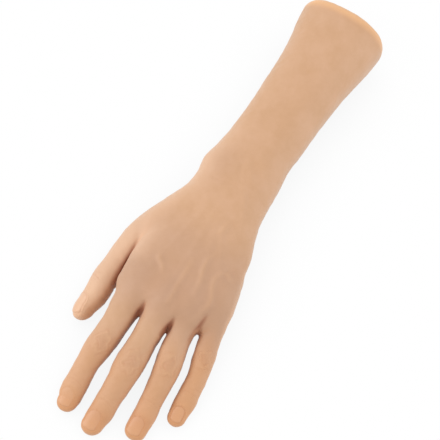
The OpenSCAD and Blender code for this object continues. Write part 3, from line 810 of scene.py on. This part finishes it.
# The cut end: a poured face inside a thin raised lip, with small bubbles, and a painted glow where the edge
# is thin.
CUT_HALF = (30.0, 26.0)
POUR_DEPTH = 0.9
POUR_EDGE = 0.735
POUR_RED_SHADE = 0.30
POUR_BUBBLES = 16
BUBBLE_SIZES = (0.7, 1.4)
BUBBLE_REACH, BUBBLE_DEPTH, BUBBLE_RED_SHADE = 0.66, 0.35, 0.25
near_cut = ease(-FOREARM_LENGTH + 14, -FOREARM_LENGTH + 8, from_wrist)
face_on = ease(-0.55, -0.9, normals[:, 1]) * near_cut
off_middle = np.hypot((x - CUT_MIDDLE[0]) / CUT_HALF[0], (z - CUT_MIDDLE[1]) / CUT_HALF[1])
lift -= POUR_DEPTH * face_on * ease(0.80, 0.73, off_middle)
# Painted shade darkens the dip round the poured face's edge, and the bubbles below.
redness_and_crease_shade += POUR_RED_SHADE * face_on * bump(off_middle - POUR_EDGE, 0.022)
# Painted glow along the thin edge of the cut end.
rim += ease(-FOREARM_LENGTH + 11, -FOREARM_LENGTH + 4.5, from_wrist) * ease(0.70, 0.84, off_middle)
for _ in range(POUR_BUBBLES):
    swing, out = draw.uniform(0, 2 * np.pi), BUBBLE_REACH * math.sqrt(draw.uniform())
    size = draw.uniform(*BUBBLE_SIZES)
    bubble_x = CUT_MIDDLE[0] + CUT_HALF[0] * out * math.cos(swing)
    bubble_z = CUT_MIDDLE[1] + CUT_HALF[1] * out * math.sin(swing)
    bubble = face_on * ease(size * 1.1, size * 0.4, np.hypot(x - bubble_x, z - bubble_z))
    lift -= BUBBLE_DEPTH * size * bubble
    redness_and_crease_shade += BUBBLE_RED_SHADE * bubble

# Painted shade in gaps, painted glow on the sides and in thin flesh, and painted light on the thumb side.
GAP_NEAR, GAP_FAR = 2.5, 7.0
THIN_BELOW = 7.0
THIN_PAINTED_GLOW = 0.5
SIDE_PAINTED_GLOW, THUMB_SIDE_PAINTED_GLOW = 0.35, 0.45
THUMB_PAINTED_LIGHT, WRIST_PAINTED_LIGHT = 0.90, 0.72


def hollow(reach):
    """How much the skin is shut in, from 0 in the open to 1 in a narrow gap."""
    return 1 - np.clip(in_chunks(skin_distance, points + normals * reach) / reach, 0, 1)


to_thumb_side = normals[:, 0]
on_thumb = ease(3.5, 0.5, limb_distances[:, limb_names.index("thumb")]) * ease(34, 62, from_wrist)
outer_thumb = on_thumb * ease(-1.3, -0.3, to_thumb_side)
# Painted shade in narrow gaps and in the clefts, less on the thumb's open side.
painted_gap_shade = 0.5 * hollow(GAP_NEAR) + 0.5 * hollow(GAP_FAR) + cleft_painted_shade
painted_gap_shade *= 1 - 0.7 * on_thumb * ease(-0.9, 0.0, to_thumb_side) * ease(70, 92, from_wrist)
warmth_and_painted_glow *= 1 - 0.55 * outer_thumb
# Sides that face neither up nor down, and thin flesh, get a painted orange glow of light through the flesh.
sides = ease(0.5, 0.1, facing_up) * ease(-0.7, -0.3, facing_up) * ease(45, 75, from_wrist)
warmth_and_painted_glow += sides * (SIDE_PAINTED_GLOW + THUMB_SIDE_PAINTED_GLOW * on_thumb)
# The thumb's outer side and the wrist's flank, which face the key light, are painted lighter.
wrist_side = ease(0.1, 0.8, to_thumb_side) * ease(-60, -10, from_wrist) * ease(75, 60, from_wrist)
painted_side_light = THUMB_PAINTED_LIGHT * outer_thumb + WRIST_PAINTED_LIGHT * wrist_side * (1 - on_thumb)
painted_side_light = np.minimum(painted_side_light, 1) * ease(-0.5, 0.0, facing_up)
thin = 1 - np.clip(-in_chunks(skin_distance, points - normals * THIN_BELOW) / THIN_BELOW, 0, 1)
warmth_and_painted_glow += THIN_PAINTED_GLOW * thin
fields = dict(nail=nail, warmth_and_painted_glow=warmth_and_painted_glow, flush_and_painted_relief=flush_and_painted_relief, painted_side_light=painted_side_light, redness_and_crease_shade=redness_and_crease_shade, painted_gap_shade=painted_gap_shade, rim=rim)
points = points + normals * lift[:, None]
normals = vertex_normals(points, faces)


# Pieces of the skin

def skin_piece(name, own):
    """A piece of the skin from some of its faces, with the whole skin's normals along its edge."""
    used = np.unique(own)
    renumber = np.full(len(points), -1, np.int64)
    renumber[used] = np.arange(len(used))
    mesh = bpy.data.meshes.new(name)
    corners = [f[:3] if f[2] == f[3] else f for f in renumber[own].tolist()]
    mesh.from_pydata((points[used] * MM).tolist(), [], corners)
    mesh.polygons.foreach_set("use_smooth", np.ones(len(own), bool))
    for field, values in fields.items():
        values = np.clip(values[used], 0, 1).astype(np.float32)
        mesh.attributes.new(field, "FLOAT", "POINT").data.foreach_set("value", values)
    place = mesh.attributes.new("cast_place", "FLOAT_VECTOR", "POINT")
    place.data.foreach_set("vector", (points[used] * MM).astype(np.float32).ravel())
    mesh.update()
    mesh.normals_split_custom_set_from_vertices(normals[used].tolist())
    piece = bpy.data.objects.new(name, mesh)
    bpy.context.scene.collection.objects.link(piece)
    return piece


# A knuckle piece starts behind its hinge, and a tip piece halfway to the end hinge.
SPLIT_BEHIND = {"index": -12.0, "middle": -12.0, "ring": -11.0, "little": -9.5}
THUMB_SPLIT = 77.0
faces_at = points[faces].mean(1)
owner = nearest[faces[:, 0]]
piece_of = np.zeros(len(faces), int)
piece_names = ["skin_arm_palm"]
for i, name in enumerate(FINGERS):
    along = fingers[name].local(faces_at)[0]
    piece_names += [f"skin_{name}_knuckle", f"skin_{name}_tip"]
    piece_of[(owner == i) & (along > SPLIT_BEHIND[name])] = len(piece_names) - 2
    piece_of[(owner == i) & (along > fingers[name].end_at / 2)] = len(piece_names) - 1
piece_names.append("skin_thumb_tip")
to_hand = in_chunks(lambda p: with_fingers(p, palm_distance(p)), faces_at)
thumb_own = in_chunks(thumb.distance, faces_at) < to_hand
piece_of[thumb_own & (faces_at[:, 1] - WRIST[1] > THUMB_SPLIT)] = len(piece_names) - 1
pieces = {}
for number, name in enumerate(piece_names):
    pieces[name] = skin_piece(name, faces[piece_of == number])


def hinge_blend(piece, hinge):
    """Bakes a piece's placement into its mesh; the hinge's place, axis and forward direction are worked out
    but no bend is added.
    """
    joint = HINGES[hinge]
    place, axis = Vector(joint["pos_m"]), Vector(joint["axis"])
    ahead = axis.cross(Vector((0, 0, 1)))
    ahead.normalize()
    if ahead.y < 0:
        ahead.negate()
    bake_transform(piece)


hinge_blend(pieces["skin_arm_palm"], "wrist")
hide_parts("forearm_skin", "palm_skin")
for name in FINGERS:
    hinge_blend(pieces[f"skin_{name}_knuckle"], f"{name}_knuckle")
    hinge_blend(pieces[f"skin_{name}_tip"], f"{name}_end_knuckle")
    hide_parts(f"{name}_middle_skin")
    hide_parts(f"{name}_distal_skin")
hinge_blend(pieces["skin_thumb_tip"], "thumb_knuckle")
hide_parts("thumb_tip_skin")


# Materials

def join(tree, value, socket):
    """Gives a socket a plain value or another node's output."""
    if isinstance(value, bpy.types.NodeSocket):
        tree.links.new(value, socket)
    else:
        socket.default_value = value


def add_node(tree, kind, inputs=(), **settings):
    """A shader node with its settings and inputs."""
    made = tree.nodes.new(kind)
    for key, value in settings.items():
        setattr(made, key, value)
    for key, value in dict(inputs).items():
        join(tree, value, made.inputs[key])
    return made


def tint(tree, mask, under, over):
    """Lays a colour over another one where the mask is high."""
    made = add_node(tree, "ShaderNodeMix", data_type="RGBA")
    for socket, value in zip([made.inputs[0], made.inputs[6], made.inputs[7]], [mask, under, over]):
        join(tree, value, socket)
    return made.outputs[2]


def scaled(tree, value, by, plus=0.0):
    """A value times a number, plus another one, kept between 0 and 1."""
    inputs = {0: value, 1: by, 2: plus}
    return add_node(tree, "ShaderNodeMath", inputs, operation="MULTIPLY_ADD", use_clamp=True).outputs[0]


def noise(tree, place, scale, detail, roughness):
    inputs = {"Vector": place, "Scale": scale, "Detail": detail, "Roughness": roughness}
    return add_node(tree, "ShaderNodeTexNoise", inputs).outputs["Fac"]


def grain_group():
    """Fine grain for roughness and height, and broad blotches for colour, sized in grains per metre."""
    group = bpy.data.node_groups.new("cast_grain", "ShaderNodeTree")
    face = group.interface
    face.new_socket("Place", in_out="INPUT", socket_type="NodeSocketVector")
    for socket in ("Grain Scale", "Blotch Scale"):
        face.new_socket(socket, in_out="INPUT", socket_type="NodeSocketFloat")
    for socket in ("Grain", "Blotch"):
        face.new_socket(socket, in_out="OUTPUT", socket_type="NodeSocketFloat")
    given, result = group.nodes.new("NodeGroupInput").outputs, group.nodes.new("NodeGroupOutput").inputs
    fine = noise(group, given["Place"], given["Grain Scale"], 3.0, 0.6)
    broad = noise(group, given["Place"], given["Blotch Scale"], 5.0, 0.66)
    spread = add_node(group, "ShaderNodeMapRange", {"Value": broad, "From Min": 0.3, "From Max": 0.7})
    group.links.new(fine, result["Grain"])
    group.links.new(spread.outputs["Result"], result["Blotch"])
    return group


GRAIN = grain_group()


def new_material(name, place, grain, blotch):
    """A material with its shader and the cast grain placed in it."""
    made = bpy.data.materials.new(name)
    made.use_nodes = True
    tree = made.node_tree
    shader = tree.nodes["Principled BSDF"]
    if place:
        source = add_node(tree, "ShaderNodeAttribute", attribute_name=place).outputs["Vector"]
    else:
        source = add_node(tree, "ShaderNodeTexCoord").outputs["Object"]
    texture = add_node(tree, "ShaderNodeGroup", node_tree=GRAIN)
    tree.links.new(source, texture.inputs["Place"])
    texture.inputs["Grain Scale"].default_value = grain
    texture.inputs["Blotch Scale"].default_value = blotch
    return made, tree, shader, texture, source


def bumped(tree, shader, height, strength, distance):
    """Gives a shader small bumps, with their height in metres."""
    made = add_node(tree, "ShaderNodeBump", {"Height": height, "Strength": strength, "Distance": distance})
    tree.links.new(made.outputs["Normal"], shader.inputs["Normal"])


def colour(r, g, b):
    """A colour given as it looks on a screen, from 0 to 255, as the shader's own value."""
    return tuple(((v / 255 + 0.055) / 1.055) ** 2.4 for v in (r, g, b)) + (1.0,)


# The skin's two base colours, then what each field lays over them: strength, offset and colour.
SKIN_BASE = colour(213, 166, 126), colour(222, 176, 140)
SKIN_COATS = [
    ("flush_and_painted_relief", 0.85, 0.0, colour(189, 147, 120)),
    ("warmth_and_painted_glow", 0.72, 0.0, colour(222, 156, 103)),
    ("painted_side_light", 0.66, 0.0, colour(243, 200, 166)),
    ("rim", 0.95, 0.0, colour(253, 196, 141)),
    ("nail", 0.22, 0.0, colour(230, 180, 146)),
    ("redness_and_crease_shade", 0.6, 0.0, colour(192, 116, 76)),
    ("painted_gap_shade", 0.95, -0.2, colour(150, 76, 42)),
]
SKIN_ROUGHNESS, SKIN_ROUGHNESS_RANGE, NAIL_SMOOTHER = 0.46, 0.16, 0.16


def silicone_skin():
    """Cast silicone with a soft sheen and fine skin lines."""
    made, tree, shader, grain, place = new_material("silicone_skin", "cast_place", 1500.0, 64.0)
    field = {n: add_node(tree, "ShaderNodeAttribute", attribute_name=n).outputs["Fac"] for n in fields}
    base = tint(tree, grain.outputs["Blotch"], *SKIN_BASE)
    for name, strength, offset, coat in SKIN_COATS:
        base = tint(tree, scaled(tree, field[name], strength, offset), base, coat)
    tree.links.new(base, shader.inputs["Base Color"])
    plain = scaled(tree, grain.outputs["Grain"], SKIN_ROUGHNESS_RANGE, SKIN_ROUGHNESS)
    smoother = scaled(tree, field["nail"], NAIL_SMOOTHER)
    rough = add_node(tree, "ShaderNodeMath", {0: plain, 1: smoother}, operation="SUBTRACT")
    tree.links.new(rough.outputs[0], shader.inputs["Roughness"])
    shader.inputs["Specular IOR Level"].default_value = 0.45
    shader.inputs["Sheen Weight"].default_value = 0.48
    shader.inputs["Sheen Roughness"].default_value = 0.45
    shader.inputs["Sheen Tint"].default_value = (1.0, 0.93, 0.86, 1.0)
    lines = add_node(tree, "ShaderNodeTexVoronoi", {"Vector": place, "Scale": 850.0, "Randomness": 0.9},
                     feature="DISTANCE_TO_EDGE")
    inputs = {0: scaled(tree, lines.outputs["Distance"], 2.2), 1: 0.5, 2: grain.outputs["Grain"]}
    height = add_node(tree, "ShaderNodeMath", inputs, operation="MULTIPLY_ADD")
    bumped(tree, shader, height.outputs[0], 0.2, 0.0003)
    return made


def metal(name, tone, grain, rough, stretch):
    """Turned or milled metal: its grain runs round or along the piece."""
    made, tree, shader, texture, source = new_material(name, None, grain, 60.0)
    drawn = add_node(tree, "ShaderNodeVectorMath", {0: source, 1: stretch}, operation="MULTIPLY")
    tree.links.new(drawn.outputs["Vector"], texture.inputs["Place"])
    darker = tuple(v * 0.86 for v in tone[:3]) + (1.0,)
    tree.links.new(tint(tree, texture.outputs["Blotch"], tone, darker), shader.inputs["Base Color"])
    tree.links.new(scaled(tree, texture.outputs["Grain"], 0.2, rough), shader.inputs["Roughness"])
    shader.inputs["Metallic"].default_value = 1.0
    bumped(tree, shader, texture.outputs["Grain"], 0.12, 0.0002)
    return made


def foam():
    """Open foam: round cells over a soft blotch."""
    made, tree, shader, texture, source = new_material("foam_core", None, 900.0, 70.0)
    cells = add_node(tree, "ShaderNodeTexVoronoi", {"Vector": source, "Scale": 620.0})
    tone = tint(tree, texture.outputs["Blotch"], colour(233, 226, 198), colour(222, 212, 180))
    tone = tint(tree, scaled(tree, cells.outputs["Distance"], 0.5), tone, colour(196, 184, 150))
    tree.links.new(tone, shader.inputs["Base Color"])
    tree.links.new(scaled(tree, texture.outputs["Grain"], 0.2, 0.75), shader.inputs["Roughness"])
    bumped(tree, shader, cells.outputs["Distance"], 0.5, 0.0006)
    return made


skin_material = silicone_skin()
for piece in pieces.values():
    piece.data.materials.append(skin_material)
INNER = {
    "armature_steel": metal("armature_steel", colour(178, 181, 186), 2600.0, 0.26, (1.0, 0.06, 1.0)),
    "palm_block_metal": metal("palm_block_metal", colour(205, 206, 209), 2200.0, 0.32, (0.08, 1.0, 1.0)),
    "foam_core": foam(),
}
MADE_OF = {"forearm_core": "foam_core", "palm_block": "palm_block_metal"}
for node in frame["nodes"]:
    if not node.endswith("_skin"):
        bpy.data.objects[node].material_slots[0].material = INNER[MADE_OF.get(node, "armature_steel")]


# Floor, light and camera

def larger(tree, a, b):
    return add_node(tree, "ShaderNodeMath", {0: a, 1: b}, operation="MAXIMUM").outputs[0]


def background_ray(tree):
    """1 for the rays that show the background: seen, mirrored or through glass."""
    path = add_node(tree, "ShaderNodeLightPath").outputs
    mirrored = larger(tree, path["Is Glossy Ray"], path["Is Transmission Ray"])
    return larger(tree, path["Is Camera Ray"], mirrored)


def mixed(tree, share, first, second):
    """One shader or another one."""
    inputs = {0: share, 1: first.outputs[0], 2: second.outputs[0]}
    return add_node(tree, "ShaderNodeMixShader", inputs)


# The floor is white paper. As background it is a clear sheet before the white, darkened near the object by
# a painted shadow from ambient occlusion, so that a finger that bends below it still shows.
FLOOR_SIZE = 6
FLOOR_TONE = 0.80
SHADOW_REACH = 0.05
SHADOW_OPEN = 0.86
SHADOW_TONE = 0.87
bpy.ops.mesh.primitive_plane_add(size=FLOOR_SIZE)
floor = bpy.context.object
floor.name = "floor"
paper = bpy.data.materials.new("white_paper")
paper.use_nodes = True
tree = paper.node_tree
tree.nodes.remove(tree.nodes["Principled BSDF"])
white = add_node(tree, "ShaderNodeBsdfDiffuse", {"Color": (FLOOR_TONE, FLOOR_TONE, FLOOR_TONE, 1.0)})
open_sky = add_node(tree, "ShaderNodeAmbientOcclusion", {"Distance": SHADOW_REACH}, samples=6).outputs["AO"]
shade_range = {"Value": open_sky, "From Max": SHADOW_OPEN, "To Min": SHADOW_TONE}
shadow = add_node(tree, "ShaderNodeMapRange", shade_range).outputs["Result"]
seen = add_node(tree, "ShaderNodeBsdfTransparent", {"Color": shadow})
clear = add_node(tree, "ShaderNodeBsdfTransparent")
underside = add_node(tree, "ShaderNodeNewGeometry").outputs["Backfacing"]
sheet = mixed(tree, underside, mixed(tree, background_ray(tree), white, seen), clear)
tree.links.new(sheet.outputs[0], tree.nodes["Material Output"].inputs["Surface"])
floor.data.materials.append(paper)

WORLD_LIGHT = 0.68
world = bpy.data.worlds.new("studio")
bpy.context.scene.world = world
world.use_nodes = True
tree = world.node_tree
light_range = {"Value": background_ray(tree), "To Min": WORLD_LIGHT, "To Max": 1.0}
level = add_node(tree, "ShaderNodeMapRange", light_range).outputs["Result"]
tree.links.new(level, tree.nodes["Background"].inputs["Strength"])
tree.nodes["Background"].inputs["Color"].default_value = (1.0, 1.0, 1.0, 1.0)

SOFT_BOX_SIZE = 0.8


def soft_box(name, place, watts):
    """A square soft light that faces the middle of the floor."""
    light = bpy.data.objects.new(name, bpy.data.lights.new(name, "AREA"))
    light.data.size = SOFT_BOX_SIZE
    light.data.energy = watts
    light.location = place
    light.rotation_euler = (-light.location).to_track_quat("-Z", "Y").to_euler()
    bpy.context.scene.collection.objects.link(light)


soft_box("key", (0.82, 0.32, 0.62), 5.0)
soft_box("fill", (-0.88, -0.22, 0.42), 2.6)

VIEW_AZIMUTH, VIEW_ELEVATION = math.radians(211), math.radians(68)
VIEW_DISTANCE = 0.9
VIEW_TARGET = Vector((-0.0022, 0.0020, 0.020))
PHOTO_WIDTH = 440
METRES_PER_PIXEL = 0.00062
SENSOR_WIDTH = 36
camera = bpy.data.objects.new("camera", bpy.data.cameras.new("camera"))
level_share = math.cos(VIEW_ELEVATION)
back = Vector((math.sin(VIEW_AZIMUTH) * level_share, -math.cos(VIEW_AZIMUTH) * level_share,
               math.sin(VIEW_ELEVATION)))
camera.location = VIEW_TARGET + back * VIEW_DISTANCE
camera.rotation_euler = (-back).to_track_quat("-Z", "Y").to_euler()
camera.data.sensor_width = SENSOR_WIDTH
camera.data.lens = SENSOR_WIDTH * VIEW_DISTANCE / METRES_PER_PIXEL / PHOTO_WIDTH
bpy.context.scene.collection.objects.link(camera)
bpy.context.scene.camera = camera
bpy.context.scene.view_settings.view_transform = "Standard"
